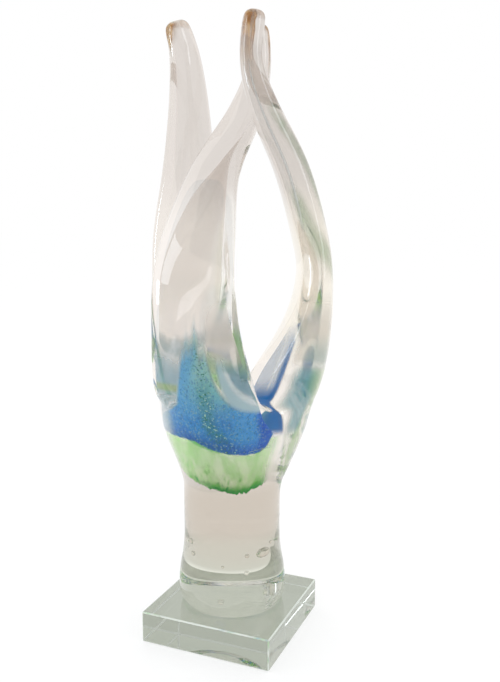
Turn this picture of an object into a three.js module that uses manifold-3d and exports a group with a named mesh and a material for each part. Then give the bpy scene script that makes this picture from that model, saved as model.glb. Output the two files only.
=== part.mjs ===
// Hot-sculpted glass award: a clear foot and stem open into a cup of coloured layers, three arms are
// pulled up out of the cup, and the foot is bonded to a square glass plate.
// Millimetres, +Z up. The origin is the centre of the plate's underside; X and Y run along its edges.
import * as THREE from "three";
import { ParametricGeometry } from "three/addons/geometries/ParametricGeometry.js";
import { mergeVertices } from "three/addons/utils/BufferGeometryUtils.js";
import Module from "manifold-3d";

const wasm = await Module();
wasm.setup();

// Fused seams are drawn as a thin gap between one gather of glass and the next
const seamGap = 0.3;

// Plate: thick float glass with ground edges
const plateSide = 82;
const plateThickness = 19;
const plateChamfer = 0.8;

// Bond: a film of clear adhesive that stops short of the edge of the foot's flat underside
const bondThickness = 0.3;
const bondMargin = 2;

// Foot, stem and cup, with heights measured up from the bond
const contactDiameter = 58;
const footDiameter = 64.5;
const footHeight = 14;
const neckDiameter = 58.5;
const neckHeight = 42;
const flareDiameter = 60;
const flareHeight = 76;
const rimDiameter = 82;
const rimHeight = 107;

// First gather inside the foot, pricked with pits that trap the air bubbles
const coreWall = 6;
const coreDome = 18;
const stemGlass = 13;
const pitDiameter = 5.2;
const pitRows = [
  { height: 9, count: 5, start: 20 },
  { height: 22, count: 4, start: 55 },
  { height: 33, count: 5, start: 5 },
];

// Layers of the cup from the outside in: thickness at the rim, and at the bottom where that differs
const casingWall = 4.5;
const bowlDepth = 40;
const veilThickness = 2;
const interlayerWall = 4;
const interlayerDepth = 14;
const blueThickness = 4.2;

// Line of a layer's bowl: two heights as shares of its depth, and how wide it has opened at the lower one
const bowlLow = 0.15;
const bowlMiddle = 0.5;
const bowlLowWidth = 0.65;

// Crown: the thick glass between the arms, above the rim of the cup
const crownOverhang = 4;
const crownHeight = 23;

// Line of the crown, as shares of its height and radius: widest point, top edge, dip in the middle
const crownWidestHeight = 0.6;
const crownEdgeRadius = 0.88;
const crownFlatRadius = 0.6;
const crownDipHeight = 0.8;

// Arms: out from the rim's edge, sideways and up from the rim, then the width and thickness there,
// and near the root how far the edges curl in towards the axis and how far a keel stands in from the inside
const armCount = 3;
const frontBearing = -90;
const rootStations = [
  [-25, 0, -20, 46, 20, 4, 0],
  [-10, 0, 4, 53, 22, 4, 8],
  [3.5, 0, 34, 58, 20, 4.4, 21],
  [8.7, 0, 64, 51, 19, 2.6, 8.5],
  [8.7, 0, 93, 47, 18.5, 0.9, 0.4],
];
const frontStations = [
  [-2, -1, 118, 41, 18],
  [-22, -1, 152, 28, 17],
  [-49, 4, 182, 21, 15],
  [-63, 8, 210, 14.5, 12.5],
  [-64, 7, 236, 13, 11],
];
const rightStations = [
  [5, 0, 117, 40, 19.5],
  [-7, -8, 154, 30, 19],
  [-23, -17, 183, 21, 16],
  [-32, -21, 209, 13, 12],
  [-30, -21, 235, 12, 12],
];
const leftStations = [
  [7, 1, 117, 43, 18.5],
  [0, 2, 153, 35, 17],
  [-7, 6, 192, 25, 15],
  [-11, 11, 219, 18, 13.5],
  [-11, 17, 237, 14, 12],
];

// An arm's section is fuller than an ellipse: 1 would be an ellipse, and less is nearer to a rectangle
const armFullness = 0.86;

// Amber bit on the end of each arm: where it starts and where it begins to round off, as shares of the arm
const tipStart = 0.945;
const tipRound = 0.97;

// Colour streaks drawn up inside the arms: shares of the arm's section, and how far up each one runs
const streakWidth = 0.44;
const streakThickness = 0.36;
const streakFullness = 1.2;
const frontStreakEnd = 0.42;
const rightStreakEnd = 0.74;
const leftStreakEnd = 0.4;

// Web: a thin sheet of colour across the root of the right arm, aside from its middle towards the front arm.
// Its outline goes out from the rim's edge and up from the rim, and the arm's own glass covers it as a skin
const webThickness = 2;
const webAside = 15.5;
const webSkin = 1.5;
const webOutline = [
  [-23, 3],
  [-5, 3],
  [9, 32],
  [15, 66],
  [9, 84],
  [-5, 70],
  [-21, 34],
];

// Facets round the turned pieces, and round and along the arms, streaks and web
const turnedFacets = 32;
const pitFacets = 8;
const pitRings = 6;
const bodySteps = 18;
const bowlSteps = 7;
const domeSteps = 4;
const crownSteps = 9;
const armFacets = 20;
const armRings = 24;
const tipRings = 6;
const streakFacets = 12;
const streakRings = 12;
const webFacets = 28;
const weld = 0.001;

// A block that cuts is this many times as large as what it cuts
const cutterReach = 4;

// A closed three.js surface as a solid
function solidOf(geometry) {
  const bare = geometry.clone();
  bare.deleteAttribute("normal");
  bare.deleteAttribute("uv");
  const welded = mergeVertices(bare, weld);
  const corners = [];
  for (let i = 0; i < welded.index.count; i += 3) {
    const [a, b, c] = [0, 1, 2].map((k) => welded.index.getX(i + k));
    if (a !== b && b !== c && c !== a) corners.push(a, b, c);
  }
  const vertProperties = new Float32Array(welded.attributes.position.array);
  const triVerts = new Uint32Array(corners);
  return new wasm.Manifold(new wasm.Mesh({ numProp: 3, vertProperties, triVerts }));
}

// A profile of [radius, height] turned about the axis, from the axis at the bottom to the axis at the top
function turned(profile) {
  const points = profile.map(([radius, height]) => new THREE.Vector2(radius, height));
  return solidOf(new THREE.LatheGeometry(points, turnedFacets).rotateX(Math.PI / 2));
}

// A smooth line through a few [radius, height] points
function smoothLine(points, steps) {
  const curve = new THREE.SplineCurve(points.map(([radius, height]) => new THREE.Vector2(radius, height)));
  return curve.getPoints(steps).map((p) => [p.x, p.y]);
}

// Levels up the axis
const footBase = plateThickness + bondThickness;
const rim = footBase + rimHeight;
const rimRadius = rimDiameter / 2;

// Plate
function plate() {
  const half = plateSide / 2;
  const square = new THREE.Shape();
  square.moveTo(-half, -half).lineTo(half, -half).lineTo(half, half).lineTo(-half, half).closePath();
  const block = new THREE.ExtrudeGeometry(square, {
    depth: plateThickness - 2 * plateChamfer,
    bevelThickness: plateChamfer,
    bevelSize: plateChamfer,
    bevelOffset: -plateChamfer,
    bevelSegments: 1,
  });
  return solidOf(block.translate(0, 0, plateChamfer));
}

// Bond
function bond() {
  const radius = contactDiameter / 2 - bondMargin;
  return turned([[0, plateThickness], [radius, plateThickness], [radius, footBase], [0, footBase]]);
}

// First gather: a round-topped plug; grown by the seam gap it is also the hole that it fills
const coreRadius = neckDiameter / 2 - coreWall;
const coreTop = rim - bowlDepth - stemGlass;

function corePlug(growth) {
  const radius = coreRadius + growth;
  const top = coreTop + growth;
  const dome = [];
  for (let k = 0; k < domeSteps; k += 1) {
    const angle = (k / domeSteps) * (Math.PI / 2);
    dome.push([radius * Math.cos(angle), top - coreDome * (1 - Math.sin(angle))]);
  }
  return turned([[0, footBase], [radius, footBase], ...dome, [0, top]]);
}

function footCore() {
  let core = corePlug(0);
  for (const row of pitRows) {
    for (let k = 0; k < row.count; k += 1) {
      const bearing = THREE.MathUtils.degToRad(row.start + (k * 360) / row.count);
      const pit = new THREE.SphereGeometry(pitDiameter / 2, pitFacets, pitRings);
      pit.translate(coreRadius * Math.cos(bearing), coreRadius * Math.sin(bearing), footBase + row.height);
      core = core.subtract(solidOf(pit));
    }
  }
  return core;
}

// Outside of the foot, stem and cup
const outside = smoothLine([
  [contactDiameter / 2, footBase],
  [footDiameter / 2, footBase + footHeight],
  [neckDiameter / 2, footBase + neckHeight],
  [flareDiameter / 2, footBase + flareHeight],
  [rimRadius, rim],
], bodySteps);

// Radius of the outside at a height on the stem or the cup
function outsideRadius(height) {
  const next = outside.findIndex((point) => point[1] >= height);
  const [[lowRadius, low], [highRadius, high]] = [outside[next - 1], outside[next]];
  return lowRadius + ((highRadius - lowRadius) * (height - low)) / (high - low);
}

// A bowl-shaped plug that fills the cup up to the rim, at an inset under the outside
function bowlPlug(inset, bottom) {
  const low = bottom + (rim - bottom) * bowlLow;
  const middle = bottom + (rim - bottom) * bowlMiddle;
  const line = smoothLine([
    [0, bottom],
    [(outsideRadius(low) - inset) * bowlLowWidth, low],
    [outsideRadius(middle) - inset, middle],
    [rimRadius - inset, rim],
  ], bowlSteps);
  return turned([...line, [0, rim]]);
}

// The same bowl carried on through the rim, to cut a hollow that is open at the top
function bowlHole(inset, bottom) {
  const radius = rimRadius - inset;
  const neck = turned([[0, rim - weld], [radius, rim - weld], [radius, rim + seamGap], [0, rim + seamGap]]);
  return bowlPlug(inset, bottom).add(neck);
}

// Insets and bottoms of the layers, each one the layer outside it and that layer's thickness further in
const veilInset = casingWall;
const veilBase = rim - bowlDepth;
const interlayerInset = veilInset + veilThickness + seamGap;
const interlayerBase = veilBase + veilThickness + seamGap;
const blueInset = interlayerInset + interlayerWall + seamGap;
const blueBase = interlayerBase + interlayerDepth + seamGap;
const clearInset = blueInset + blueThickness + seamGap;
const clearBase = blueBase + blueThickness + seamGap;

function cupCasing() {
  const body = turned([[0, footBase], ...outside, [0, rim]]);
  return body.subtract(corePlug(seamGap)).subtract(bowlHole(veilInset - seamGap, veilBase - seamGap));
}

function layer(inset, base, nextInset, nextBase) {
  return bowlPlug(inset, base).subtract(bowlHole(nextInset - seamGap, nextBase - seamGap));
}

// Share of a width at an angle round a section that is fuller than an ellipse
function fuller(share) {
  return Math.sign(share) * Math.abs(share) ** armFullness;
}

// One arm: a line through its stations with a width and a thickness at each point of it
class Arm {
  constructor(index, upperStations) {
    const stations = [...rootStations, ...upperStations];
    this.bearing = THREE.MathUtils.degToRad(frontBearing + (index * 360) / armCount);
    this.path = new THREE.CatmullRomCurve3(
      stations.map(([out, side, up]) => new THREE.Vector3(rimRadius + out, side, rim + up)),
    );
    this.sizes = new THREE.SplineCurve(stations.map((station) => new THREE.Vector2(station[3], station[4])));
    this.bends = new THREE.SplineCurve(
      stations.map(([, , , , , curl = 0, keel = 0]) => new THREE.Vector2(curl, keel)),
    );
  }

  // Point of the section at share t of the arm, at an angle round it, for a width and a thickness;
  // bend is how much of the arm's curl and keel the section has
  sectionPoint(t, angle, width, thickness, bend) {
    const edge = fuller(Math.cos(angle));
    const face = fuller(Math.sin(angle));
    const inside = Math.min(Math.sin(angle), 0);
    const { x: curl, y: keel } = this.bends.getPoint(t);
    const centre = this.path.getPoint(t);
    const along = this.path.getTangent(t);
    const across = new THREE.Vector3(0, 1, 0).addScaledVector(along, -along.y).normalize();
    const outward = new THREE.Vector3().crossVectors(across, along);
    centre.addScaledVector(across, (width / 2) * edge);
    centre.addScaledVector(outward, (thickness / 2) * face);
    centre.x -= bend * (curl * edge * edge + keel * inside * inside);
    return centre;
  }

  // Closed sweep between two shares of the arm; size(t) gives the width and the thickness there, and the bend
  sweep(start, end, facets, rings, size) {
    const stacks = rings + 2;
    const surface = (u, v, target) => {
      const step = Math.round(v * stacks) - 1;
      const t = start + (end - start) * THREE.MathUtils.clamp(step / rings, 0, 1);
      const closed = step < 0 || step > rings;
      const [width, thickness, bend = 0] = closed ? [0, 0] : size(t);
      target.copy(this.sectionPoint(t, -u * 2 * Math.PI, width, thickness, bend));
    };
    const skin = new ParametricGeometry(surface, facets, stacks);
    return solidOf(skin.rotateZ(this.bearing));
  }
}

// Everything below the plane on which the arms stand
function belowArms() {
  const size = cutterReach * rim;
  const block = new THREE.BoxGeometry(size, size, size);
  return solidOf(block.translate(0, 0, rim + seamGap - size / 2));
}

// An arm's share of the crown, with half a seam gap on each side
function crownSector(arm) {
  const crownRadius = rimRadius + crownOverhang;
  const line = smoothLine([
    [rimRadius, rim + seamGap],
    [crownRadius, rim + crownHeight * crownWidestHeight],
    [crownRadius * crownEdgeRadius, rim + crownHeight],
    [crownRadius * crownFlatRadius, rim + crownHeight],
    [0, rim + crownHeight * crownDipHeight],
  ], crownSteps);
  const half = Math.PI / armCount;
  const apex = seamGap / 2 / Math.sin(half);
  const reach = cutterReach * crownRadius;
  const wedge = new THREE.Shape();
  wedge.moveTo(apex, 0);
  wedge.lineTo(apex + reach * Math.cos(half), -reach * Math.sin(half));
  wedge.lineTo(apex + reach, 0);
  wedge.lineTo(apex + reach * Math.cos(half), reach * Math.sin(half));
  const prism = new THREE.ExtrudeGeometry(wedge, { depth: 2 * rim, bevelEnabled: false });
  return turned([[0, rim + seamGap], ...line]).intersect(solidOf(prism.rotateZ(arm.bearing)));
}

// Streak of colour, drawn out to a fine end; grown by the seam gap it is also the pocket that it fills
function streak(arm, end, growth) {
  const size = (t) => {
    const taper = Math.min(streakFullness * Math.sqrt(1 - t / end), 1);
    const full = arm.sizes.getPoint(t);
    return [full.x * streakWidth * taper + 2 * growth, full.y * streakThickness * taper + 2 * growth];
  };
  return arm.sweep(0, end, streakFacets, streakRings, size);
}

function armStreak(arm, end) {
  return streak(arm, end, 0).subtract(belowArms());
}

// Web of colour inside an arm; grown by the seam gap it is also the pocket that it fills
function web(arm, growth) {
  const corners = webOutline.map(([out, up]) => new THREE.Vector3(rimRadius + out, rim + up, 0));
  const line = new THREE.CatmullRomCurve3(corners, true).getPoints(webFacets).slice(0, -1);
  const outline = new THREE.Shape(line.map((point) => new THREE.Vector2(point.x, point.y)));
  const sheet = new THREE.ExtrudeGeometry(outline, {
    depth: webThickness,
    bevelEnabled: growth > 0,
    bevelThickness: growth,
    bevelSize: growth,
    bevelSegments: 1,
  });
  sheet.rotateX(Math.PI / 2).translate(0, webThickness / 2 - webAside, 0).rotateZ(arm.bearing);
  const size = (t) => {
    const cover = 2 * (webSkin - growth);
    const full = arm.sizes.getPoint(t);
    return [full.x - cover, full.y - cover, 1];
  };
  return solidOf(sheet).intersect(arm.sweep(0, tipStart, armFacets, armRings, size));
}

// Arm: the drawn-out blade and its share of the crown, with pockets for the colours in it
function armBody(arm, pockets) {
  const size = (t) => [...arm.sizes.getPoint(t), 1];
  const blade = arm.sweep(0, tipStart, armFacets, armRings, size);
  const whole = blade.subtract(belowArms()).add(crownSector(arm));
  return pockets.reduce((body, pocket) => body.subtract(pocket), whole);
}

// Amber bit on the end of an arm, rounded off like a drop
function armTip(arm) {
  const start = tipStart + seamGap / arm.path.getLength();
  const size = (t) => {
    const share = THREE.MathUtils.clamp((t - tipRound) / (1 - tipRound), 0, 1);
    const full = arm.sizes.getPoint(t);
    return full.multiplyScalar(Math.sqrt(1 - share * share)).toArray();
  };
  return arm.sweep(start, 1, armFacets, tipRings, size);
}

// Assembly
const award = new THREE.Group();
award.name = "glass_award";

function addPiece(name, solid, color, roughness) {
  const { vertProperties, triVerts } = solid.getMesh();
  const geometry = new THREE.BufferGeometry();
  geometry.setAttribute("position", new THREE.BufferAttribute(new Float32Array(vertProperties), 3));
  geometry.setIndex(new THREE.BufferAttribute(new Uint32Array(triVerts), 1));
  geometry.computeVertexNormals();
  const mesh = new THREE.Mesh(geometry, new THREE.MeshStandardMaterial({ color, roughness, metalness: 0 }));
  mesh.name = name;
  award.add(mesh);
}

const clearGlass = 0xd8d2ca;
const plateGlass = 0xb4baa8;
const adhesive = 0xd9d9d4;
const greenGlass = 0x7f9a86;
const blueGlass = 0x2f63b0;
const amberGlass = 0x9c6a35;
const polished = 0.04;
const satin = 0.1;

addPiece("base_plate", plate(), plateGlass, polished);
addPiece("bond_film", bond(), adhesive, satin);
addPiece("foot_core", footCore(), clearGlass, polished);
addPiece("cup_casing", cupCasing(), clearGlass, polished);
addPiece("green_veil", layer(veilInset, veilBase, interlayerInset, interlayerBase), greenGlass, satin);
const interlayer = layer(interlayerInset, interlayerBase, blueInset, blueBase);
addPiece("clear_interlayer", interlayer, clearGlass, polished);
addPiece("blue_bowl", layer(blueInset, blueBase, clearInset, clearBase), blueGlass, satin);
addPiece("clear_core", bowlPlug(clearInset, clearBase), clearGlass, polished);

const arms = [
  { side: "front", stations: frontStations, streakEnd: frontStreakEnd, streakColor: 0x3d7fc0 },
  {
    side: "right",
    stations: rightStations,
    streakEnd: rightStreakEnd,
    streakColor: 0x7c8c4e,
    webColor: 0x4f7fb8,
  },
  { side: "left", stations: leftStations, streakEnd: leftStreakEnd, streakColor: 0x7d8fa0 },
];
arms.forEach(({ side, stations, streakEnd, streakColor, webColor }, index) => {
  const arm = new Arm(index, stations);
  const pockets = [streak(arm, streakEnd, seamGap)];
  if (webColor) {
    pockets.push(web(arm, seamGap));
    addPiece(`web_${side}`, web(arm, 0), webColor, satin);
  }
  addPiece(`arm_${side}`, armBody(arm, pockets), clearGlass, polished);
  addPiece(`streak_${side}`, armStreak(arm, streakEnd), streakColor, satin);
  addPiece(`tip_${side}`, armTip(arm), amberGlass, polished);
});

export default award;
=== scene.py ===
from math import cos, pi, radians, sin

import bmesh
import bpy
from mathutils import Matrix, Vector


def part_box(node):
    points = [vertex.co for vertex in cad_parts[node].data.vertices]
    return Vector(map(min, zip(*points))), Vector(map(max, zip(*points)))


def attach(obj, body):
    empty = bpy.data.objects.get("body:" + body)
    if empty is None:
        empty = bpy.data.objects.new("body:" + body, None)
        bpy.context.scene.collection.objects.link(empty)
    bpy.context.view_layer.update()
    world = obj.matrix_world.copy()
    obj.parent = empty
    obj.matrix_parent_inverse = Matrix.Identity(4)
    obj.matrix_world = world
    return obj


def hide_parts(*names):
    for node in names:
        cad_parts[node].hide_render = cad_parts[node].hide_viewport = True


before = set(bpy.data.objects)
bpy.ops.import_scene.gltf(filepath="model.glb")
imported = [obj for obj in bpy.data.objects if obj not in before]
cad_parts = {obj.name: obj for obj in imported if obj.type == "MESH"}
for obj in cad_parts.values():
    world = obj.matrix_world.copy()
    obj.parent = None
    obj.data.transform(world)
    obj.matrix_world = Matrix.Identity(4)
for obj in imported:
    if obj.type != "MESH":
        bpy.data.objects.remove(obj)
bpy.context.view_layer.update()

# Base plate
# A square of thick float glass, sawn from stock sheet, with polished faces and finely ground arrises.
# It stands loose on its underside and carries everything else on its top face.
mm = 0.001
plate_low, plate_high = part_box("base_plate")
plate_side = plate_high.x - plate_low.x
plate_thickness = plate_high.z - plate_low.z
plate_arris = 0.7 * mm
film_low, film_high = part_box("bond_film")
bond_radius = film_high.x
bond_segments = 64


class Wire:
    """A shader socket that takes part in Python sums; each sum adds its Math node to the finish."""

    def __init__(self, finish, socket):
        self.finish = finish
        self.socket = socket

    def math(self, operation, *others):
        return self.finish.node("Math", {"operation": operation}, self, *others)

    def __add__(self, other):
        return self.math("ADD", other)

    __radd__ = __add__

    def __sub__(self, other):
        return self.math("SUBTRACT", other)

    def __rsub__(self, other):
        return self.finish.node("Math", {"operation": "SUBTRACT"}, other, self)

    def __mul__(self, other):
        return self.math("MULTIPLY", other)

    __rmul__ = __mul__

    def __truediv__(self, other):
        return self.math("DIVIDE", other)

    def size(self):
        return self.math("ABSOLUTE")

    def between(self, low, high):
        """0 below low and 1 above high, with a smooth step from one to the other."""
        settings = {"interpolation_type": "SMOOTHSTEP"}
        return self.finish.node("MapRange", settings, Value=self, From_Min=low, From_Max=high)

    def past(self, limit):
        """How far the value is past a limit, and 0 before it."""
        return (self - limit).math("MAXIMUM", 0)

    def near(self, place, reach):
        """1 at a place, going down to 0 at the given reach to either side of it."""
        return 1 - ((self - place) / reach).size().between(0.2, 1)


class Finish:
    """A material made of nodes."""

    def __init__(self, name):
        self.material = bpy.data.materials.new(name)
        self.material.use_nodes = True
        self.tree = self.material.node_tree
        self.tree.nodes.clear()

    def node(self, kind, settings=None, *values, out=0, at=None, **named):
        """Adds a node. Values fill its sockets in order, at fills them by number and named by name."""
        made = self.tree.nodes.new("ShaderNode" + kind)
        for key, value in (settings or {}).items():
            setattr(made, key, value)
        for key, value in [*enumerate(values), *(at or {}).items(), *named.items()]:
            socket = made.inputs[key if isinstance(key, int) else key.replace("_", " ")]
            if isinstance(value, Wire):
                self.tree.links.new(value.socket, socket)
            elif isinstance(value, tuple) and socket.type == "RGBA":
                socket.default_value = (*value, 1)
            else:
                socket.default_value = value
        return Wire(self, made.outputs[out])

    def place(self):
        """Object coordinates, which are the award's own frame in metres."""
        return self.node("TexCoord", out="Object")

    def xyz(self):
        split = self.node("SeparateXYZ", None, self.place()).socket.node
        return [Wire(self, output) for output in split.outputs]

    def noise(self, scale, detail=2):
        """Cloudy pattern, 0 to 1; a scale for each axis draws it out along one of them."""
        place = self.node("Mapping", None, self.place(), Scale=scale)
        return self.node("TexNoise", None, place, Scale=1, Detail=detail)

    def mix(self, share, first, second):
        """One colour that goes over into another."""
        return self.node("Mix", {"data_type": "RGBA"}, out=2, at={0: share, 6: first, 7: second})

    def clear_to_lamps(self, glass, tint):
        """The glass for every ray but those that go to a lamp, which are only tinted."""
        lamp_ray = self.node("LightPath", out="Is Shadow Ray")
        clear = self.node("BsdfTransparent", None, tint)
        return self.node("MixShader", None, lamp_ray, glass, clear)

    def done(self, surface):
        output = self.tree.nodes.new("ShaderNodeOutputMaterial")
        self.tree.links.new(surface.socket, output.inputs["Surface"])
        return self.material


def finished_piece(bm, name, materials, slot, *nodes, smooth=True):
    """A finished mesh as an object at the origin, in the place of the named solids."""
    bmesh.ops.recalc_face_normals(bm, faces=bm.faces)
    mesh = bpy.data.meshes.new(name)
    bm.to_mesh(mesh)
    bm.free()
    for face in mesh.polygons:
        face.use_smooth = smooth
    for material in materials:
        mesh.materials.append(material)
    piece = bpy.data.objects.new(name, mesh)
    bpy.context.scene.collection.objects.link(piece)
    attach(piece, "root")
    if nodes:
        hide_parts(*nodes)
    return piece


def verts_of(parts):
    return [part for part in parts if isinstance(part, bmesh.types.BMVert)]


def edges_of(parts):
    return [part for part in parts if isinstance(part, bmesh.types.BMEdge)]


def plate_glass():
    """Float glass with a faint wave, grey-green in its depth."""
    finish = Finish("plate_glass")
    wave = finish.noise((18, 18, 18), 1)
    bump = finish.node("Bump", None, Strength=0.05, Distance=0.4 * mm, Height=wave)
    grey_green = (0.39, 0.42, 0.355)
    glass = finish.node(
        "BsdfPrincipled", None, grey_green, Roughness=0.02, IOR=1.52, Transmission_Weight=1, Normal=bump
    )
    return finish.done(finish.clear_to_lamps(glass, (0.80, 0.82, 0.78)))


def ground_arris():
    """Fine-ground glass along the edges, which looks pale and matt and lets light through."""
    finish = Finish("ground_arris")
    grain = finish.noise((1500, 1500, 1500), 1)
    pale = finish.mix(grain, (0.82, 0.88, 0.82), (0.70, 0.78, 0.71))
    ground = finish.node("BsdfPrincipled", None, pale, Alpha=0.35 + 0.25 * grain, Roughness=0.5)
    return finish.done(ground)


def bonded_face():
    """Glass wetted by the adhesive, which light crosses without bending; only a little haze shows."""
    finish = Finish("bonded_face")
    haze = finish.noise((90, 90, 90)).between(0.3, 0.8)
    film = finish.node("BsdfPrincipled", None, (0.90, 0.92, 0.82), Alpha=0.02 + haze * 0.05, Roughness=0.3)
    return finish.done(film)


bonded = bonded_face()
sharp_angle = 0.5
hair = 0.1 * mm
bm = bmesh.new()
on_top = Matrix.Translation((0, 0, plate_thickness))
bmesh.ops.create_circle(bm, cap_ends=True, segments=bond_segments, radius=bond_radius, matrix=on_top)
rim = bmesh.ops.extrude_edge_only(bm, edges=bm.edges[:])["geom"]
for corner in verts_of(rim):
    corner.co.xy *= plate_side / 2 / max(abs(corner.co.x), abs(corner.co.y))
walls = bmesh.ops.extrude_edge_only(bm, edges=edges_of(rim))["geom"]
bmesh.ops.translate(bm, verts=verts_of(walls), vec=(0, 0, -plate_thickness))
bmesh.ops.edgeloop_fill(bm, edges=edges_of(walls))
bmesh.ops.recalc_face_normals(bm, faces=bm.faces)
sharp = [edge for edge in bm.edges if edge.calc_face_angle() > sharp_angle]
bmesh.ops.bevel(bm, geom=sharp, offset=plate_arris, segments=2, profile=0.5, affect="EDGES", material=-1)
plate_finishes = [plate_glass(), bonded, ground_arris()]
polished, wetted, ground = range(3)
for face in bm.faces:
    reach = max(corner.co.xy.length for corner in face.verts)
    squareness = max(abs(share) for share in face.normal)
    if reach < bond_radius + hair and face.normal.z > 0.9:
        face.material_index = wetted
    else:
        face.material_index = polished if squareness >= 0.99 else ground
finished_piece(bm, "glass_plate", plate_finishes, "plate_glass", "base_plate", smooth=False)

# Bond
# A thin film of clear adhesive, cured between the plate and the flat ground patch under the foot.
# The real film wets both faces; here it stands clear of each by a little, so that no two faces coincide.
film_gap = 0.05 * mm
film_thickness = film_high.z - film_low.z - 2 * film_gap
bm = bmesh.new()
on_plate = Matrix.Translation((0, 0, film_low.z + film_gap))
bmesh.ops.create_circle(bm, cap_ends=True, segments=bond_segments, radius=bond_radius, matrix=on_plate)
top = bmesh.ops.extrude_face_region(bm, geom=bm.faces[:], use_keep_orig=True)["geom"]
bmesh.ops.translate(bm, verts=verts_of(top), vec=(0, 0, film_thickness))
finished_piece(bm, "bond_disc", [bonded], "adhesive", "bond_film", smooth=False)

# Clear glass
# The foot, stem, cup and pulled arms are one mass of hot-worked clear glass, fire-polished all over.
# The last gather flows from the stem into the arms, so the seams that the solids show are melted away here.
stem_sides = 12
arm_sides = 8
right_bearing = 30
third_turn = 120


def swell(sides):
    """How far out a ring's corners stand, so that the smoothed surface has the wanted size."""
    return 3 / (2 + cos(2 * pi / sides))


def ring_places(height, radius, lobe=0):
    """Corners of a ring of the stem, which stands out by lobe under each arm and draws in between them."""
    places = []
    for k in range(stem_sides):
        angle = radians(360 / stem_sides * (k - 1))
        reach = (radius + lobe * cos(3 * (angle - radians(right_bearing)))) * swell(stem_sides)
        places.append(Vector((reach * cos(angle), reach * sin(angle), height)) * mm)
    return places


def grow(bm, face, places):
    """Extrudes one face and moves its corners to their new places."""
    grown = bmesh.ops.extrude_discrete_faces(bm, faces=[face])["faces"][0]
    for corner, place in zip(grown.verts, places):
        corner.co = place
    return grown


def closed_shell(rings):
    """Coarse closed shell through rings of corners, and its last face."""
    bm = bmesh.new()
    base = bm.faces.new([bm.verts.new(place) for place in rings[0]])
    raised = bmesh.ops.extrude_face_region(bm, geom=[base], use_keep_orig=True)["geom"]
    last = next(part for part in raised if isinstance(part, bmesh.types.BMFace))
    for corner, place in zip(last.verts, rings[1]):
        corner.co = place
    for places in rings[2:]:
        last = grow(bm, last, places)
    return bm, last


def halfway(first, second):
    return [(a + b) / 2 for a, b in zip(first, second)]


def split_crown(bm, top, saddles, outer, dip):
    """Parts the top face into one root face for each arm, with a saddle between each pair of them.
    Saddles and outer hold a radius and a height; dip is the height of the hub between the arms."""
    places = []
    for k, way in enumerate(ring_places(0, 1)):
        arm, corner = divmod(k, 4)
        before = saddles[arm]
        after = saddles[(arm + 1) % 3]
        radius, height = [before, halfway(before, outer), outer, halfway(after, outer)][corner]
        places.append(Vector((way.x * radius, way.y * radius, height * mm)))
    top = grow(bm, top, places)
    saddle_corners = [corner for k, corner in enumerate(top.verts) if k % 4 == 0]
    hub = bmesh.ops.poke(bm, faces=[top])["verts"][0]
    hub.co.z = dip * mm
    loose = [edge for edge in hub.link_edges if edge.other_vert(hub) not in saddle_corners]
    bmesh.ops.dissolve_edges(bm, edges=loose)
    risen_halfway = 0.6
    for edge in list(hub.link_edges):
        rim = edge.other_vert(hub)
        middle = bmesh.utils.edge_split(edge, hub, 0.5)[1]
        middle.co.z = hub.co.z + (rim.co.z - hub.co.z) * risen_halfway
    return list(hub.link_faces)


def along(stations, t):
    """Values at place t in a list of stations, on a smooth line through them."""
    i = min(int(t), len(stations) - 2)
    u = t - i
    rows = [stations[min(max(i + k, 0), len(stations) - 1)] for k in (-1, 0, 1, 2)]
    values = []
    for a, b, c, d in zip(*rows):
        values.append(b + u / 2 * (c - a + u * (2 * a - 5 * b + 4 * c - d + u * (3 * (b - c) + d - a))))
    return values


def fuller(share):
    """Pushes the corners of a section outwards, so that it is fuller than an ellipse."""
    return (1 if share > 0 else -1) * abs(share) ** 0.7


def round_section(k):
    """Angle of corner k of an arm's section, counted from one edge over the outside to the other edge."""
    return radians(360 / arm_sides * k - 90)


class Arm:
    """A pulled arm. Its stations hold how far out, sideways and up it is, its width and thickness there,
    how far its edges curl in towards the axis and how far a keel stands in from its inside."""

    def __init__(self, bearing, stations):
        self.out = Vector((cos(radians(bearing)), sin(radians(bearing)), 0))
        self.side = Vector((-self.out.y, self.out.x, 0))
        self.stations = stations
        self.end = len(stations) - 1

    def centre(self, t):
        out, side, up = along(self.stations, t)[:3]
        return (self.out * out + self.side * side + Vector((0, 0, up))) * mm

    def axes(self, t):
        """Unit vectors along the arm, across its width and out of its face."""
        step = 0.05
        heading = (self.centre(min(t + step, self.end)) - self.centre(max(t - step, 0))).normalized()
        across = (self.side - heading * self.side.dot(heading)).normalized()
        return heading, across, across.cross(heading)

    def section(self, t, share=1, ahead=0):
        """Corners of the section at t: the edge before it, the outside, the edge after it, the inside."""
        heading, across, outward = self.axes(t)
        width, thickness, curl, keel = along(self.stations, t)[3:7]
        places = []
        for k in range(arm_sides):
            angle = round_section(k)
            edge = fuller(sin(angle))
            inside = max(-cos(angle), 0) ** 2
            reach = across * (width / 2 * edge) + outward * (thickness / 2 * fuller(cos(angle)))
            pull_in = self.out * (curl * edge * edge + keel * inside)
            offset = reach * swell(arm_sides) * share - pull_in + heading * ahead
            places.append(self.centre(t) + offset * mm)
        return places

    def pull(self, bm, roots, start, steps, tip):
        """Draws the arm out of whichever root face lies under it, and rounds off its end.
        Tip holds how far past the last station a ring lies, and the share of the section that it keeps."""
        face = max(roots, key=lambda root: root.calc_center_median().dot(self.out))
        roots.remove(face)
        before = self.out * cos(radians(third_turn / 2)) - self.side * sin(radians(third_turn / 2))
        corners = list(face.verts)
        turn = max(range(arm_sides), key=lambda k: corners[k].co.dot(before))
        rings = [(start + (self.end - start) * k / steps, 1, 0) for k in range(steps + 1)]
        rings += [(self.end, share, ahead) for ahead, share in tip]
        for t, share, ahead in rings:
            places = self.section(t, share, ahead)
            face = grow(bm, face, places[arm_sides - turn:] + places[:arm_sides - turn])


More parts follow.
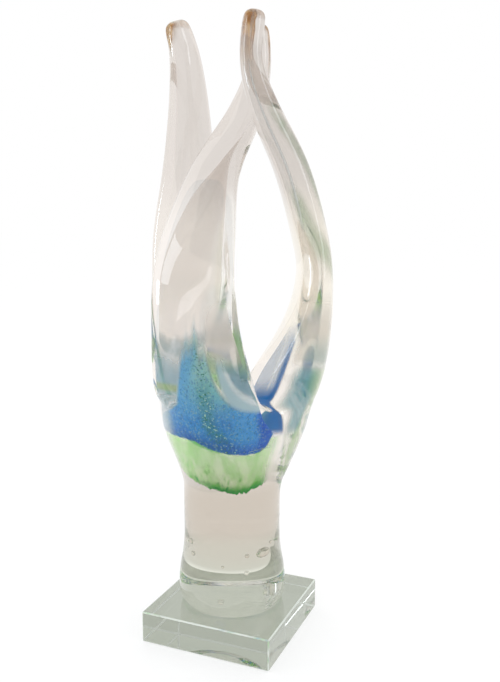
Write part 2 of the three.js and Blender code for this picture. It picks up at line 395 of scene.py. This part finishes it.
arm_root = [
    (16, 0, 106, 46, 20, 5, 24),
    (31, 0, 130, 54, 22, 5, 28),
    (45, 0, 160, 57, 20, 5, 25),
    (50, 0, 190, 50, 19, 3, 10),
    (50, 0, 219, 46, 18.5, 1, 0.5),
]
arms = {
    "front": Arm(right_bearing - third_turn, [
        *arm_root,
        (39, -1, 244, 41, 18, 0, 0),
        (19, -1, 278, 28, 17, 0, 0),
        (-8, 4, 308, 21, 15, 0, 0),
        (-22, 8, 336, 14.5, 12.5, 0, 0),
        (-23, 7, 359, 13, 11, 0, 0),
    ]),
    "right": Arm(right_bearing, [
        *arm_root,
        (46, 0, 243, 40, 19.5, 0, 0),
        (34, -8, 280, 30, 19, 0, 0),
        (18, -17, 309, 21, 16, 0, 0),
        (9, -21, 335, 13, 12, 0, 0),
        (11, -21, 358, 12, 12, 0, 0),
    ]),
    "left": Arm(right_bearing + third_turn, [
        *arm_root,
        (48, 1, 243, 43, 18.5, 0, 0),
        (41, 2, 279, 35, 17, 0, 0),
        (34, 6, 318, 25, 15, 0, 0),
        (30, 11, 345, 18, 13.5, 0, 0),
        (30, 16, 360, 14, 12, 0, 0),
    ]),
}
foot_base = film_high.z / mm
# Height, radius and lobe of each ring, in millimetres.
stem_rings = [
    (foot_base, 17),
    (foot_base, 27),
    (foot_base, 29.4),
    (21.8, 31.6),
    (28, 32.8),
    (36, 32.7),
    (44, 31.4),
    (53, 29.7),
    (63, 29.2),
    (76, 29.3),
    (87, 29.3),
    (95, 29.8, 1.0),
    (101, 32.3, 2.2),
    (108, 34.9, 2.8),
    (117, 38.6, 3.2),
    (128, 43.1, 2.8),
]
saddles = [(42, 143), (42, 152), (44, 156)]
bm, top = closed_shell([ring_places(*ring) for ring in stem_rings])
roots = split_crown(bm, top, saddles, outer=(49.5, 141), dip=144)
for arm in arms.values():
    arm.pull(bm, roots, start=1.8, steps=17, tip=[(2.5, 0.8), (3.8, 0.4)])
for face in bm.faces:
    reach = max(corner.co.xy.length for corner in face.verts)
    on_base = max(corner.co.z for corner in face.verts) < film_high.z + hair
    face.material_index = 1 if on_base and reach < 1.05 * bond_radius else 0


def smoothed(piece, levels):
    """A live subdivision surface, the same in every view."""
    surface = piece.modifiers.new("smooth", "SUBSURF")
    surface.levels = levels
    surface.render_levels = levels
    return piece


def clear_glass():
    """Warm clear glass with soft cords. The tint of each part stands for how deep its glass looks, except
    for two pale bands of painted light: one round the front of the neck and one along the front arm's edge.
    """
    finish = Finish("clear_glass")
    x, y, height = finish.xyz()
    cords = finish.noise((60, 60, 9))
    bump = finish.node("Bump", None, Strength=0.06, Distance=0.6 * mm, Height=cords)

    above_foot = height.between(0.042, 0.060)
    tint = finish.mix(above_foot, (0.55, 0.56, 0.48), (0.56, 0.50, 0.43))
    # Painted light: at this height the front of the neck is tinted nearly clear, which lightens the dark
    # band of shade that the curved glass shows there.
    neck_painted_light = height.near(0.0462, 0.0042) * (0.4 * x - 0.9 * y).between(0.010, 0.020)
    tint = finish.mix(0.9 * neck_painted_light, tint, (0.97, 0.96, 0.88))
    cup = height.between(0.09, 0.13)
    tint = finish.mix(cup, tint, (0.88, 0.83, 0.79))
    right_arm = (x + y).between(-0.005, 0.015) * height.between(0.15, 0.18)
    tint = finish.mix(right_arm, tint, (0.90, 0.85, 0.76))
    left_arm = (0.5 * y - 0.87 * x).between(0.012, 0.03) * height.between(0.17, 0.20)
    tint = finish.mix(left_arm, tint, (0.80, 0.75, 0.70))
    arm_tops = height.between(0.24, 0.28)
    tint = finish.mix(arm_tops, tint, (0.72, 0.67, 0.63))
    # Painted highlight: a nearly clear band near the front arm's edge stands for the bright light that the
    # curved glass bends in from the side.
    painted_bright_edge_band = x.between(0.012, 0.016) * (1 - y.between(-0.034, -0.028)) * height.between(0.19, 0.21)
    tint = finish.mix(painted_bright_edge_band, tint, (0.98, 0.97, 0.93))

    glass = finish.node(
        "BsdfPrincipled", None, tint, Roughness=0.0, IOR=1.5, Transmission_Weight=1, Normal=bump
    )
    return finish.done(finish.clear_to_lamps(glass, (0.90, 0.88, 0.86)))


gathers = ("cup_casing", "foot_core", "clear_interlayer", "clear_core")
pulled = ("arm_front", "arm_right", "arm_left")
body = finished_piece(bm, "clear_glass_body", [clear_glass(), bonded], "clear_glass", *gathers, *pulled)
smoothed(body, 3)

# Air bubbles
# Pricked pits in the first gather that the casing closed over, round the foot, and one wide flat one.
# Each is a void inside the glass with a bright skin. The list holds its distance from the axis, its bearing,
# its height and its radius, in millimetres and degrees.
bubbles = [
    (26.5, -152, 56, 1.6),
    (26.3, -126, 61, 2.0),
    (26.3, -121, 54, 1.7),
    (25.5, -23, 56, 5),
    (26.5, -47, 56.5, 1.4),
    (26.5, -77, 50, 0.9),
    (26.5, -48, 46, 1.5),
    (27, -24, 32, 1.6),
    (27, -79, 29, 1.8),
    (27.5, -152, 25, 1.2),
    (27.5, 21, 31, 1.3),
    (26.5, -11, 61, 1.2),
    (26, 60, 48, 1.6),
    (26, 165, 60, 1.4),
    (27, 140, 34, 1.5),
    (26, 175, 44, 1.3),
]
largest_round = 2
round_form = Matrix.Diagonal((0.9, 1, 0.9, 1))
flat_form = Matrix.Diagonal((0.35, 1, 0.62, 1))


def bubble_skin():
    """A bright void, with a little mist on its skin."""
    finish = Finish("bubble_skin")
    mist = finish.noise((900, 900, 900)).between(0.3, 0.7)
    bright = (0.97, 0.96, 0.93)
    misty = mist * 0.08
    skin = finish.node("BsdfPrincipled", None, bright, Roughness=misty, IOR=1.5, Transmission_Weight=1)
    return finish.done(finish.clear_to_lamps(skin, bright))


bm = bmesh.new()
for reach, bearing, height, radius in bubbles:
    turn = Matrix.Rotation(radians(bearing), 4, "Z")
    place = turn @ Matrix.Translation(Vector((reach, 0, height)) * mm)
    form = flat_form if radius > largest_round else round_form
    bmesh.ops.create_icosphere(bm, subdivisions=3, radius=radius * mm, matrix=place @ form)
finished_piece(bm, "air_bubbles", [bubble_skin()], "clear_glass")

# Green veil
# A thin skin of pale green powder colour, picked up on the gather before the last one, so it lies just
# under the surface of the cup; it is darkest along its ragged lower rim and streaky above it.
veil_inset = 2.6
veil_rings = [
    (93, 16),
    (92.5, 24),
    (93.5, 26.6, 0.4),
    (97, 28.0, 0.6),
    (101, 32.3 - veil_inset, 2.0),
    (108, 34.9 - veil_inset, 2.8),
    (117, 38.6 - veil_inset, 3.2),
    (126, 42.3 - veil_inset, 2.8),
    (134, 44.5 - veil_inset, 2.4),
    (135, 30),
]


def colour_piece(bm, name, materials, slot, *nodes, levels=2):
    """A piece of colour inside the glass; light soaks through it, so it throws no shadow there."""
    piece = smoothed(finished_piece(bm, name, materials, slot, *nodes), levels)
    piece.visible_shadow = False


def coloured_skin(finish, colour, cover):
    skin = finish.node("BsdfPrincipled", None, colour, Alpha=cover, Roughness=0.5, Specular_IOR_Level=0)
    return finish.done(skin)


def green_veil():
    """Streaks of green on the front of the cup, a dark rim and fine dark threads that rise from it.
    Bearings are in radians from the front; the veil's top follows the rim of the blue above it."""
    finish = Finish("green_veil")
    x, y, height = finish.xyz()
    streaks = finish.noise((150, 150, 30), 3).between(0.35, 0.7)
    bearing = x.math("ARCTAN2", -1 * y)
    lowest_bearing = 0.55
    aside = ((bearing - lowest_bearing) * (bearing - lowest_bearing) + 0.04).math("SQRT")
    ragged = finish.noise((420, 420, 60), 3) - 0.5
    above_rim = height - 0.0930 - 0.011 * aside + 0.006 * ragged
    rim = (1 - above_rim.between(0.001, 0.008)) * (1 - aside.between(0.35, 1.2))
    threads = finish.noise((520, 520, 26), 2).between(0.58, 0.68) * (1 - above_rim.between(0.006, 0.024))
    dark = (rim + 0.5 * threads).math("MINIMUM", 1)
    colour = finish.mix(streaks, (0.46, 0.97, 0.17), (0.28, 0.82, 0.08))
    colour = finish.mix(dark, colour, (0.01, 0.46, 0.04))

    front = bearing.between(-0.85, -0.5) * (1 - bearing.between(0.98, 1.25))
    blob_bearing = 0.70
    left_of_blob = (blob_bearing - bearing).past(0)
    right_of_blob = bearing.past(blob_bearing)
    top = 0.1211 + 0.0155 * left_of_blob * left_of_blob + 0.1 * right_of_blob * right_of_blob
    above_top = height - top.math("MINIMUM", 0.1302)
    fade = above_rim.between(0, 0.001) * (1 - above_top.between(-0.0004, 0.0012))
    cover = 0.48 + 0.24 * streaks + 0.55 * dark
    return coloured_skin(finish, colour, cover * fade * (0.06 + 0.94 * front))


bm = closed_shell([ring_places(*ring) for ring in veil_rings])[0]
colour_piece(bm, "green_veil_skin", [green_veil()], "green_glass", "green_veil", levels=3)

# Blue flames
# Blue and teal powder and chips, rolled onto the inner gather, that lie in the cup and were drawn up into
# the arms as flames; each one is dense at its lower rim and frays out upwards.
leaf_thickness = 1.2


def leaf_line(bearing, stations, thickness=leaf_thickness):
    """The line of a leaf of colour inside an arm: out, sideways, up, width and curl of each station."""
    return Arm(bearing, [(*place, width, thickness, curl, 0) for *place, width, curl in stations])


def leaf(arm, steps, ends=0.35):
    """Closed shell of a thin leaf of colour, with both of its ends rounded.
    Over, from one edge to the other, and along, from end to end, tell a finish where it is on the leaf."""
    past_end = 1.5
    stops = [(0, ends, -past_end)]
    stops += [(arm.end * k / steps, 1, 0) for k in range(steps + 1)]
    stops += [(arm.end, ends, past_end)]
    bm = closed_shell([arm.section(*stop) for stop in stops])[0]
    over = bm.verts.layers.float.new("over")
    along_leaf = bm.verts.layers.float.new("along")
    for number, corner in enumerate(bm.verts):
        ring, k = divmod(number, arm_sides)
        corner[over] = sin(round_section(k))
        corner[along_leaf] = stops[ring][0] / arm.end
    bmesh.ops.recalc_face_normals(bm, faces=bm.faces)
    for face in bm.faces:
        face.material_index = 1 if face.normal.dot(arm.out) < 0 else 0
    return bm


front_flame = leaf_line(-90, [
    (34, 4, 116, 56, 15),
    (36, 2.5, 121, 61, 20),
    (38, 2.5, 128, 66, 23),
    (41, 2, 140, 57.5, 16),
    (43, 2, 148, 54, 15),
    (44.5, 1, 156, 49, 13),
    (47.5, 1, 172, 46, 6),
    (50, 0, 192, 40, 4),
    (50.5, 0, 212, 34, 2.5),
    (42, -1, 244, 28, 0),
    (26, -1, 270, 18, 0),
])
front_edge = leaf_line(-65.5, [
    (47, 5.6, 166, 4, 0),
    (48, 4.6, 174, 5, 0),
    (49.5, 3.2, 184, 5, 0),
    (51, 1.6, 196, 4.5, 0),
    (51.5, 0.8, 208, 4, 0),
    (51, 0.4, 218, 3, 0),
], thickness=1)
left_flame = leaf_line(150, [
    (38, 0, 150, 44, 8),
    (42, 0, 162, 42, 6),
    (45, 0, 175, 38, 4),
    (48, 0, 194, 30, 2),
])
# Painted light in part: this warm haze is a haze in the glass, and where it lies over the upper colours it
# is also pale paint laid over their mirror images.
warm_haze_and_painted_light = (0.88, 0.83, 0.77)


def powder_colour(finish, x, height, from_edge, above_rim, chance):
    """Blue that goes over into teal away from the flame's edge, with cobalt along the rim, a dark trail of
    chips, a fine grain and scattered chips."""
    colour = finish.mix(from_edge.between(0.002, 0.018), (0.13, 0.44, 0.75), (0.24, 0.62, 0.62))
    thinner = height.between(0.160, 0.172) * from_edge.between(0.006, 0.012)
    colour = finish.mix(0.8 * thinner, colour, (0.38, 0.68, 0.62))
    low = 1 - height.between(0.140, 0.165)
    colour = finish.mix(low, colour, (0.03, 0.29, 0.75))
    colour = finish.mix(low * x.between(0.012, 0.020), colour, (0.07, 0.41, 0.90))

    trail = x.near(0.0045 + 0.55 * (0.139 - height).past(0), 0.006)
    trail_colour = finish.mix(height.between(0.130, 0.160), (0.01, 0.22, 0.34), (0.08, 0.34, 0.38))
    colour = finish.mix(trail * (0.75 - 0.55 * height.between(0.155, 0.172)), colour, trail_colour)
    cloud = finish.noise((70, 70, 45), 2).between(0.3, 0.6)
    rim = (1 - above_rim.between(0.002, 0.012)) * (0.6 + 0.4 * cloud) + x.between(0.026, 0.031)
    colour = finish.mix(rim.math("MINIMUM", 1), colour, (0.002, 0.13, 0.68))

    grain = finish.noise((1100, 1100, 450), 3)
    colour = finish.mix(0.55 * grain.between(0.52, 0.68), colour, (0.01, 0.12, 0.42))
    colour = finish.mix(0.35 * (1 - grain.between(0.32, 0.46)), colour, (0.20, 0.58, 0.85))
    dark_chips = chance.between(0.88, 0.92) * (0.3 + 0.7 * trail)
    colour = finish.mix(dark_chips, colour, (0.02, 0.22, 0.14))
    fewer_above = 1 - 0.6 * height.between(0.150, 0.168)
    pale_chips = (1 - chance.between(0.06, 0.12)) * (0.35 + 0.65 * trail) * fewer_above
    return finish.mix(pale_chips, colour, (0.46, 0.78, 0.66))


def bay_colours(finish, height, bay):
    """Milky bands round the bay beside the flame and a teal pool inside them, and how much they cover."""
    past_band = bay - 200 - 6500 * height.past(0.151)
    milky = past_band.near(10, 95)
    pool = past_band.between(50, 130)
    pool_colour = finish.mix(height.between(0.168, 0.182), (0.15, 0.36, 0.46), (0.30, 0.50, 0.30))
    colour = finish.mix(pool, (0.44, 0.65, 0.72), pool_colour)
    cover = (0.85 * milky + 0.80 * pool).math("MINIMUM", 0.85) * bay.between(140, 200)
    return colour, cover


def front_colours(name, underlay=False):
    """Powder from its rim up to the flame, the bay to the right of it, a thin teal patch with an olive foot
    to the left of it and a faint warm haze above the bay, which is partly haze in the glass and partly
    painted pale light over mirror images of the colours. The underlay is the pale green that the powder was
    rolled onto, and shows from behind."""
    finish = Finish(name)
    x, _, height = finish.xyz()
    streaks = finish.noise((330, 330, 28), 3)
    fray = streaks - 0.5
    chips = finish.node("TexVoronoi", None, finish.place(), Scale=1500).socket.node
    chance = finish.node("SeparateColor", None, Wire(finish, chips.outputs["Color"]))

    left_edge = 0.235 * height.past(0.151) - 1.2 * (0.152 - height).past(0) - 0.0137
    from_edge = x - left_edge + fray * 0.002
    right_of_edge = from_edge.between(-0.0006, 0.0024)
    bay = x.past(0.0035) * (height - 0.140) / (mm * mm)
    from_blob = x - 0.022
    rim_height = (0.1212 + 8.5 * from_blob * from_blob).math("MINIMUM", 0.1297)
    rim_height = rim_height + 100 * x.past(0.025) * x.past(0.025)
    above_rim = height - rim_height + fray * 0.002
    on_rim = above_rim.between(0, 0.0012)
    shoulders = (95 * (x + 0.0005) * (x + 0.0005)).math("MINIMUM", 0.014)
    top = 1 - (height + shoulders + fray * 0.03).between(0.174, 0.199)
    left_end = 0.5 + 0.5 * x.between(-0.023, -0.015)
    powder = right_of_edge * (1 - bay.between(140, 215)) * on_rim * top * left_end
    if underlay:
        colour = finish.mix(streaks.between(0.3, 0.7), (0.62, 0.78, 0.48), (0.44, 0.66, 0.34))
    else:
        colour = powder_colour(finish, x, height, from_edge, above_rim, chance)

    thin_out = 1 - (height + fray * 0.012).between(0.164, 0.193)
    bay_colour, bay_cover = bay_colours(finish, height, bay)
    bay_cover = bay_cover * thin_out
    olive = height.near(0.161, 0.0035)
    left_colour = finish.mix(olive, (0.20, 0.40, 0.50), (0.24, 0.40, 0.18))
    left_cover = (1 - right_of_edge) * (0.40 + 0.31 * height.between(0.156, 0.160)) * thin_out * on_rim
    if underlay:
        left_cover = left_cover * 0.15
        bay_cover = bay_cover * 0.3
    colour = finish.mix(powder, finish.mix(1 - right_of_edge, bay_colour, left_colour), colour)
    cover = powder * (0.9 + 0.2 * chance) + (1 - powder) * (bay_cover + left_cover + 0.06)
    above_bay = height.between(0.170, 0.188) * (1 - height.between(0.190, 0.226))
    # Painted light in part: the warm haze is haze in the glass and also pale paint laid over mirror images
    # of the colours.
    haze = 0.62 * x.between(0.002, 0.014) * above_bay
    colour = finish.mix(haze.between(0, 0.4), colour, warm_haze_and_painted_light)
    return coloured_skin(finish, colour, cover.math("MAXIMUM", haze))


def edge_colours():
    """Green drawn up along one edge of the arm, teal at its foot and cream at its top."""
    finish = Finish("edge_colours")
    height = finish.xyz()[2]
    streaks = finish.noise((300, 300, 30), 3)
    tone = finish.mix(height.between(0.168, 0.178), (0.20, 0.42, 0.44), (0.40, 0.64, 0.34))
    tone = finish.mix(height.between(0.188, 0.200), tone, (0.78, 0.75, 0.66))
    fade = height.between(0.164, 0.170) * (1 - (height + (streaks - 0.5) * 0.012).between(0.203, 0.217))
    return coloured_skin(finish, tone, fade * (0.65 + 0.25 * streaks))


def left_colours():
    """Grey-blue that thins out upwards."""
    finish = Finish("left_colours")
    height = finish.xyz()[2]
    streaks = finish.noise((260, 260, 28), 3)
    fade = height.between(0.149, 0.153) * (1 - (height + (streaks - 0.5) * 0.008).between(0.156, 0.165))
    tone = finish.mix(streaks.between(0.3, 0.7), (0.20, 0.42, 0.54), (0.34, 0.50, 0.52))
    return coloured_skin(finish, tone, fade * 0.32)


front_sides = [front_colours("front_colours"), front_colours("front_underlay", underlay=True)]
front_nodes = ("blue_bowl", "streak_front")
colour_piece(leaf(front_flame, 16), "front_flame", front_sides, "blue_glass", *front_nodes, levels=3)
edge_sides = [edge_colours()] * 2
colour_piece(leaf(front_edge, 8), "front_edge_streak", edge_sides, "green_glass")
left_sides = [left_colours()] * 2
colour_piece(leaf(left_flame, 8), "left_flame", left_sides, "grey_blue_glass", "streak_left")

# Colours in the right arm
# The skins of blue, teal and green were drawn out together here: a blue web inside a crescent line in the
# arm's root, a teal and a green band outside it, and pale green streaks that wind on up through the arm.
right_face = right_bearing - 90
right_sheet = leaf_line(right_face, [
    (13, 25, 102, 9, 0),
    (13, 24, 118, 24, 2),
    (14, 23, 134, 35, 3),
    (14, 26.5, 143, 33, 3),
    (14, 33.5, 158, 34, 3),
    (14, 41, 178, 25, 2),
    (13, 47, 198, 15, 1),
    (12, 48, 216, 12, 0),
])


def right_colours(name, share=1):
    """A blue web inside the crescent line, a teal band and green outside it and a faint warm haze above,
    which is partly haze in the glass and partly painted pale light over mirror images; share thins the whole
    of it."""
    finish = Finish(name)
    x, y, height = finish.xyz()
    across = x * cos(radians(right_bearing)) + y * sin(radians(right_bearing))
    streaks = finish.noise((200, 200, 22), 3)
    line = (0.024 + 0.38 * height.past(0.142)).math("MINIMUM", 0.0385)
    inside = line - across + (streaks - 0.5) * 0.002
    web = inside.between(-0.0006, 0.0012) * (1 - height.between(0.182, 0.198))
    deep = 1 - height.between(0.144, 0.160)
    stroke = inside.near(0.0016, 0.0028) * (1 - height.between(0.166, 0.188))
    thread = inside.near(0.0062, 0.0010) * height.between(0.150, 0.156)
    band = 0.030 + 0.37 * (height - 0.134)
    teal = across.near(band, 0.0070) * height.between(0.124, 0.134) * (1 - height.between(0.160, 0.176))
    outside = (across - band).between(0.001, 0.004) * (1 - height.between(0.162, 0.178))
    low = 1 - height.between(0.118, 0.132)
    green = (outside + low - outside * low) * streaks.between(0.25, 0.6)

    colour = finish.mix(green, (0.60, 0.58, 0.48), (0.36, 0.62, 0.20))
    cover = 0.05 + 0.46 * green
    colour = finish.mix(teal, colour, (0.13, 0.42, 0.50))
    cover = cover + 0.66 * teal * streaks.between(0.10, 0.50)
    deep_colour = finish.mix(across.between(0.006, 0.014), (0.14, 0.38, 0.72), (0.01, 0.20, 0.70))
    web_colour = finish.mix(deep, (0.11, 0.32, 0.60), deep_colour)
    web_colour = finish.mix(stroke * 0.8, web_colour, (0.03, 0.18, 0.58))
    web_colour = finish.mix(thread * 0.7, web_colour, (0.72, 0.80, 0.90))
    web_cover = (0.42 + 0.58 * deep + 0.46 * stroke * (1 - deep)) * height.between(0.128, 0.133)
    colour = finish.mix(web, colour, web_colour)
    cover = (cover * (1 - web) + web * web_cover) * (1 - height.between(0.176, 0.198))

    over = finish.node("Attribute", {"attribute_name": "over"}, out="Fac")
    # Painted light in part: the haze is haze in the glass and also pale paint laid over mirror images of the
    # colours.
    haze = 0.70 * height.between(0.163, 0.172) * (1 - height.between(0.188, 0.216))
    haze = haze * (1 - over.size().between(0.6, 1)) * (1 - inside.between(-0.004, 0))
    shade = (across - band).between(-0.005, 0.001) * (1 - height.between(0.172, 0.188))
    haze_colour = finish.mix(shade, warm_haze_and_painted_light, (0.46, 0.58, 0.56))
    colour = finish.mix(haze.between(0, 0.4), colour, haze_colour)
    return coloured_skin(finish, colour, cover.math("MAXIMUM", haze) * share)


right_sides = [right_colours("right_colours"), right_colours("right_colours_behind", share=0.25)]
colour_piece(leaf(right_sheet, 12), "right_sheet", right_sides, "flame_glass", "web_right", levels=3)


def edge_leaf(arm, start, end, depth, share):
    """The line of a leaf inside the right arm that stands on edge. Depth is how near it is to the arm's edge
    and share how much of the arm's thickness it fills."""
    rows = []
    steps = 10
    for k in range(steps + 1):
        out, side, up, width, thickness = along(arm.stations, start + (end - start) * k / steps)[:5]
        rows.append((depth * width / 2 - side, out, up, share * thickness, 0))
    return leaf_line(right_face, rows)


def winding_streaks():
    """Soft pale green streaks, one fine white line that is a painted highlight along a ridge of the arm, and
    a trace of warm haze.
    """
    finish = Finish("winding_streaks")
    over = finish.node("Attribute", {"attribute_name": "over"}, out="Fac")
    leaf_place = finish.node("Attribute", {"attribute_name": "along"}, out="Fac")
    streaks = finish.noise((240, 240, 24), 3).between(0.3, 0.7)
    first = over.near(0.85 - 2.9 * leaf_place, 0.45) * (1 - leaf_place.between(0.38, 0.48))
    second = over.near(0.95 - 1.9 * (leaf_place - 0.36), 0.5) * leaf_place.between(0.25, 0.35)
    second = second * (1 - leaf_place.between(0.62, 0.75))
    # Painted highlight: this fine white line stands for light caught along a ridge of the arm.
    thread = over.near(-0.3, 0.09) * leaf_place.between(0.25, 0.4) * (1 - leaf_place.between(0.8, 0.95))
    green = ((first + second) * (0.6 + 0.4 * streaks)).math("MINIMUM", 1)
    colour = finish.mix(green, (0.62, 0.58, 0.52), (0.34, 0.50, 0.28))
    colour = finish.mix(thread, colour, (0.88, 0.94, 0.96))
    ends = leaf_place.between(0, 0.12) * (1 - leaf_place.between(0.9, 1))
    return coloured_skin(finish, colour, (0.14 + 0.26 * green + 0.45 * thread) * ends)


right_streaks = edge_leaf(arms["right"], start=3.6, end=8.6, depth=0.5, share=0.74)
streak_sides = [winding_streaks()] * 2
bm = leaf(right_streaks, 16)
colour_piece(bm, "right_streaks", streak_sides, "olive_glass", "streak_right", levels=3)

# Amber ends
# The last heat in the flame and a trace of silver stain the drawn ends amber, just under the surface.
# Each end is a closed shell of thin colour that follows the inside of its arm's tip.
flame_bearing = -155
flame_side = Vector((cos(radians(flame_bearing)), sin(radians(flame_bearing)), 0))


def amber_end(name, arm):
    """Amber over the tip, deepest on the side that the flame met, with a fine line running down from it."""
    finish = Finish("amber_end_" + name)
    x, y, height = finish.xyz()
    tip = arm.centre(arm.end)
    from_middle = flame_side.x * (x - tip.x) + flame_side.y * (y - tip.y)
    blotches = finish.noise((260, 260, 120), 3).between(0.35, 0.65)
    colour = finish.mix(blotches, (0.86, 0.54, 0.20), (0.40, 0.17, 0.04))
    met = from_middle.between(-0.0005, 0.0035) * height.between(tip.z - 0.012, tip.z - 0.002)
    top = height.between(tip.z - 0.002, tip.z + 0.0015)
    patch = (0.85 * met + 0.4 * top).math("MINIMUM", 0.9)
    line = from_middle.near(0.0030, 0.0011) * height.between(tip.z - 0.030, tip.z - 0.012)
    return coloured_skin(finish, colour, (0.3 + 0.7 * blotches) * patch + 0.4 * line)


for name, arm in arms.items():
    rings = [
        (arm.end - 1.2, 0.2),
        (arm.end - 1.15, 0.62),
        (arm.end - 0.6, 0.7),
        (arm.end - 0.2, 0.74),
        (arm.end, 0.74),
        (arm.end, 0.5, 1.8),
    ]
    bm = closed_shell([arm.section(*ring) for ring in rings])[0]
    colour_piece(bm, "amber_end_" + name, [amber_end(name, arm)], "amber_glass", "tip_" + name)

# Studio
# A plain pale floor just below the plate, and soft white light from all round.
# The floor keeps the award's shadow, and glows where it is seen, so that it is nearly as white as the rest.
floor_reach = 6
floor_drop = 0.4 * mm
floor_finish = Finish("pale_floor")
rays = floor_finish.node("LightPath").socket.node.outputs
camera_ray, glossy_ray, glass_ray = [
    Wire(floor_finish, rays["Is %s Ray" % kind]) for kind in ("Camera", "Glossy", "Transmission")
]
seen = camera_ray + glossy_ray + glass_ray
pale = floor_finish.node("BsdfDiffuse", None, (0.85, 0.85, 0.85))
glow = floor_finish.node("Emission", None, (1, 1, 1), 1.1)
floor_surface = floor_finish.node("MixShader", None, seen * 0.6, pale, glow)
bm = bmesh.new()
below = Matrix.Translation((0, 0, -floor_drop))
bmesh.ops.create_grid(bm, x_segments=1, y_segments=1, size=floor_reach, matrix=below)
floor_mesh = bpy.data.meshes.new("floor")
bm.to_mesh(floor_mesh)
bm.free()
floor = bpy.data.objects.new("floor", floor_mesh)
floor_mesh.materials.append(floor_finish.done(floor_surface))
bpy.context.scene.collection.objects.link(floor)

world = bpy.data.worlds.new("studio")
bpy.context.scene.world = world
world.use_nodes = True
background = world.node_tree.nodes["Background"]
background.inputs["Color"].default_value = (1, 1, 1, 1)
background.inputs["Strength"].default_value = 1.0


def lamp(name, place, target, size, power, colour):
    """A soft window of light, which the glass mirrors but which isn't seen through it."""
    light = bpy.data.lights.new(name, "AREA")
    light.shape = "RECTANGLE"
    light.size, light.size_y = size
    light.energy = power
    light.color = colour
    stand = bpy.data.objects.new(name, light)
    stand.location = place
    stand.rotation_euler = (Vector(target) - Vector(place)).to_track_quat("-Z", "Y").to_euler()
    stand.visible_transmission = False
    bpy.context.scene.collection.objects.link(stand)


daylight = (0.85, 0.92, 1)
cup_place = (0, 0, 0.15)
foot_place = (0, 0, 0.05)
lamp("window_left", (-0.9, -0.7, 0.7), cup_place, (0.35, 0.7), 3, daylight)
lamp("window_right", (1.1, -0.2, 0.6), cup_place, (0.25, 0.6), 1.7, daylight)
lamp("window_low", (-1.0, -0.40, 0.22), foot_place, (0.22, 0.26), 1.6, (0.80, 0.90, 1))

# Camera
# It looks from where the photograph was taken, as solved from the plate's corners.
# Light may cross the glass many times, so the limits on its bounces are high.
looks_down = 9.350
turned = 23.179
glass_bounces = 48
camera = bpy.data.cameras.new("camera")
camera.lens = 41.81
camera.sensor_width = 36
stand = bpy.data.objects.new("camera", camera)
stand.location = (0.19254, -0.42163, 0.25621)
stand.rotation_euler = (radians(90 - looks_down), 0, radians(turned))
bpy.context.scene.collection.objects.link(stand)
bpy.context.scene.camera = stand
bpy.context.scene.view_settings.view_transform = "Standard"
for limit in ("max_bounces", "transmission_bounces", "glossy_bounces", "transparent_max_bounces"):
    setattr(bpy.context.scene.cycles, limit, glass_bounces)
